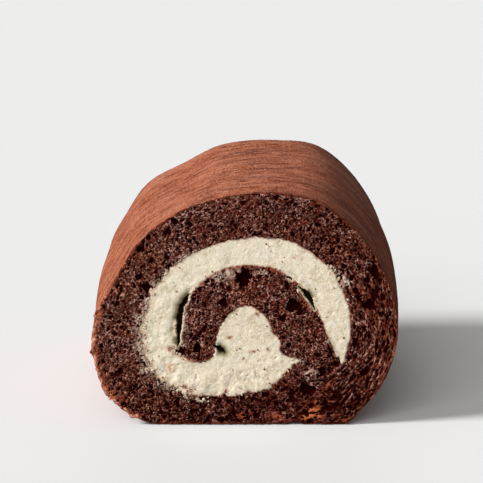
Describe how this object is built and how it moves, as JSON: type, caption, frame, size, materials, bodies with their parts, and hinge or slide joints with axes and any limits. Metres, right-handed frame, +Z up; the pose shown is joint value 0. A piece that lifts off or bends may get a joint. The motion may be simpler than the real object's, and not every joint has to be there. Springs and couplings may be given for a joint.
{
  "type": "swiss roll cake",
  "caption": "Chocolate swiss roll: one sponge sheet rolled around a pale cream filling, with a cut face that shows the spiral, resting on a flat underside.",
  "frame": {"origin": "middle of the underside that the roll rests on", "axes": "+Y along the roll, from the cut face towards the back end; +X to the right of the cut face; +Z up"},
  "size_m": [0.1072, 0.165, 0.0775],
  "materials": {
    "sponge": "dark chocolate sponge crumb with open pores; outside it has a red-brown, finely wrinkled crust",
    "cream": "soft, matt whipped cream, ivory, with fine specks and a few crumbs",
    "crust": "matt red-brown baked crust with fine wrinkles around the roll"
  },
  "bodies": {
    "root": {"sponge": "sponge", "cream": "cream"}
  },
  "joints": []
}
